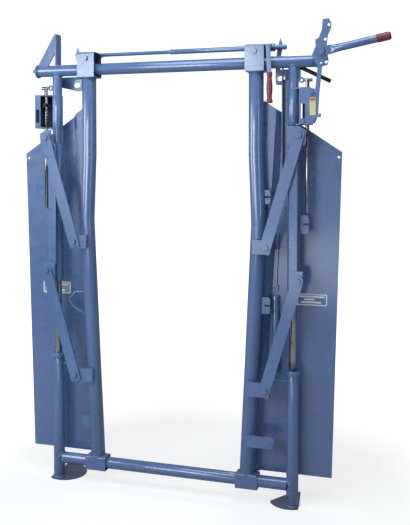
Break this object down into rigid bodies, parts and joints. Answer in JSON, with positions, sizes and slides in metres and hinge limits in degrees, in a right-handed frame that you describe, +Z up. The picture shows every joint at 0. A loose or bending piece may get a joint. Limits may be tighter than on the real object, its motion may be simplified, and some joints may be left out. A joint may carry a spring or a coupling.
{
  "type": "cattle headgate",
  "caption": "Free-standing cattle headgate: two stanchion doors slide together on rails as linked carriages drop on guide posts, held by friction latches and a hand lever.",
  "frame": {"origin": "middle of the bottom of the bounding box, on the floor", "axes": "+Z up, +X to the right seen from the operator's side, +Y towards the animal side"},
  "size_m": [1.6808, 0.211, 2.036],
  "materials": {
    "blue_paint": "gloss",
    "bright_steel": "polished",
    "bare_steel": "satin",
    "dark_steel": "oiled",
    "zinc_hardware": "zinc plated",
    "red_grip": "satin"
  },
  "bodies": {
    "frame": {"top_tube": "blue_paint", "tube_end_caps": "blue_paint", "bottom_tube": "blue_paint", "lower_posts": "blue_paint", "post_collars": "blue_paint", "guide_rods": "bright_steel", "upper_posts": "blue_paint", "foot_plates": "blue_paint", "corner_brace": "blue_paint", "hook_plates": "blue_paint", "rod_lugs": "blue_paint", "latch_rods": "bright_steel", "rear_bar": "dark_steel", "frame_straps": "blue_paint"},
    "left_door": {"left_stanchion": "blue_paint", "left_roller_housing": "blue_paint", "left_roller_axle": "zinc_hardware", "left_bottom_sleeve": "blue_paint", "left_panel": "blue_paint", "left_link_brackets": "blue_paint", "left_door_tab": "blue_paint", "adjusting_bar": "blue_paint", "wire_loop": "blue_paint"},
    "right_door": {"right_stanchion": "blue_paint", "right_roller_housing": "blue_paint", "right_roller_axle": "zinc_hardware", "right_bottom_sleeve": "blue_paint", "right_panel": "blue_paint", "right_link_brackets": "blue_paint", "right_door_tab": "blue_paint", "bar_guide": "blue_paint", "door_keepers": "blue_paint", "panel_stay": "blue_paint"},
    "left_roller": {"left_roller": "bare_steel"},
    "right_roller": {"right_roller": "bare_steel"},
    "left_carriage": {"left_carriage_sleeve": "blue_paint", "left_link_channel": "blue_paint", "left_latch_box": "blue_paint", "left_latch_spring": "dark_steel"},
    "right_carriage": {"right_carriage_sleeve": "blue_paint", "right_link_channel": "blue_paint", "right_latch_box": "blue_paint", "right_latch_spring": "dark_steel", "upright_plate": "blue_paint", "selector_plate": "blue_paint", "carriage_bolts": "zinc_hardware"},
    "left_friction_plates": {"left_friction_plates": "bare_steel"},
    "right_friction_plates": {"right_friction_plates": "bare_steel"},
    "handle": {"handle_tube": "blue_paint", "handle_grip": "red_grip"},
    "lock_lever": {"lock_lever": "blue_paint", "lock_grip": "red_grip"},
    "left_upper_link": {"left_upper_link": "blue_paint", "left_upper_link_bolts": "blue_paint"},
    "left_lower_link": {"left_lower_link": "blue_paint", "left_lower_link_bolts": "blue_paint"},
    "right_upper_link": {"right_upper_link": "blue_paint", "right_upper_link_bolts": "blue_paint"},
    "right_lower_link": {"right_lower_link": "blue_paint", "right_lower_link_bolts": "blue_paint"}
  },
  "joints": [
    {"name": "door_close", "type": "slide", "parent": "frame", "child": "left_door", "axis": [1, 0, 0], "range_m": [0, 0.27]},
    {"name": "right_door_close", "type": "slide", "parent": "frame", "child": "right_door", "axis": [-1, 0, 0], "range_m": [0, 0.27]},
    {"name": "left_carriage_drop", "type": "slide", "parent": "frame", "child": "left_carriage", "axis": [0, 0, -1], "range_m": [0, 0.2015]},
    {"name": "left_upper_link_swing", "type": "hinge", "parent": "left_door", "child": "left_upper_link", "pos_m": [-0.53943, -0.0915, 1.098], "axis": [0, -1, 0], "range_deg": [0, 40.5]},
    {"name": "left_lower_link_swing", "type": "hinge", "parent": "left_door", "child": "left_lower_link", "pos_m": [-0.53643, -0.0915, 0.497], "axis": [0, -1, 0], "range_deg": [0, 40.5]},
    {"name": "left_roller_spin", "type": "hinge", "parent": "left_door", "child": "left_roller", "pos_m": [-0.48642, -0.0345, 1.9167], "axis": [0, 1, 0], "range_deg": [0, 738]},
    {"name": "right_carriage_drop", "type": "slide", "parent": "frame", "child": "right_carriage", "axis": [0, 0, -1], "range_m": [0, 0.2015]},
    {"name": "right_upper_link_swing", "type": "hinge", "parent": "right_door", "child": "right_upper_link", "pos_m": [0.33658, -0.0915, 1.098], "axis": [0, 1, 0], "range_deg": [0, 40.5]},
    {"name": "right_lower_link_swing", "type": "hinge", "parent": "right_door", "child": "right_lower_link", "pos_m": [0.33358, -0.0915, 0.497], "axis": [0, 1, 0], "range_deg": [0, 40.5]},
    {"name": "right_roller_spin", "type": "hinge", "parent": "right_door", "child": "right_roller", "pos_m": [0.28358, -0.0345, 1.9167], "axis": [0, -1, 0], "range_deg": [0, 738]},
    {"name": "handle_swing", "type": "hinge", "parent": "right_carriage", "child": "handle", "pos_m": [0.56658, -0.0855, 1.9], "axis": [0, 1, 0], "range_deg": [-20, 45]},
    {"name": "right_latch_tilt", "type": "hinge", "parent": "right_carriage", "child": "right_friction_plates", "pos_m": [0.48757, -0.0345, 1.714], "axis": [0, 1, 0], "range_deg": [-2, 4]},
    {"name": "left_latch_tilt", "type": "hinge", "parent": "left_carriage", "child": "left_friction_plates", "pos_m": [-0.69042, -0.0345, 1.714], "axis": [0, -1, 0], "range_deg": [0, 4], "stiffness_Nm_per_rad": 12, "springref_deg": -2.86},
    {"name": "lock_lever_lift", "type": "hinge", "parent": "right_door", "child": "lock_lever", "pos_m": [0.34358, 0.0178, 1.941], "axis": [-1, 0, 0], "range_deg": [0, 95]}
  ],
  "couplings": [
    {"joint": "right_door_close", "follows": "door_close", "ratio": 1},
    {"joint": "left_carriage_drop", "follows": "door_close", "ratio": 0.744},
    {"joint": "left_upper_link_swing", "follows": "door_close", "rad_per_m": 2.611},
    {"joint": "left_lower_link_swing", "follows": "door_close", "rad_per_m": 2.611},
    {"joint": "left_roller_spin", "follows": "door_close", "rad_per_m": 47.619},
    {"joint": "right_carriage_drop", "follows": "door_close", "ratio": 0.744},
    {"joint": "right_upper_link_swing", "follows": "door_close", "rad_per_m": 2.611},
    {"joint": "right_lower_link_swing", "follows": "door_close", "rad_per_m": 2.611},
    {"joint": "right_roller_spin", "follows": "door_close", "rad_per_m": 47.619},
    {"joint": "right_latch_tilt", "follows": "handle_swing", "ratio": 0.08}
  ]
}
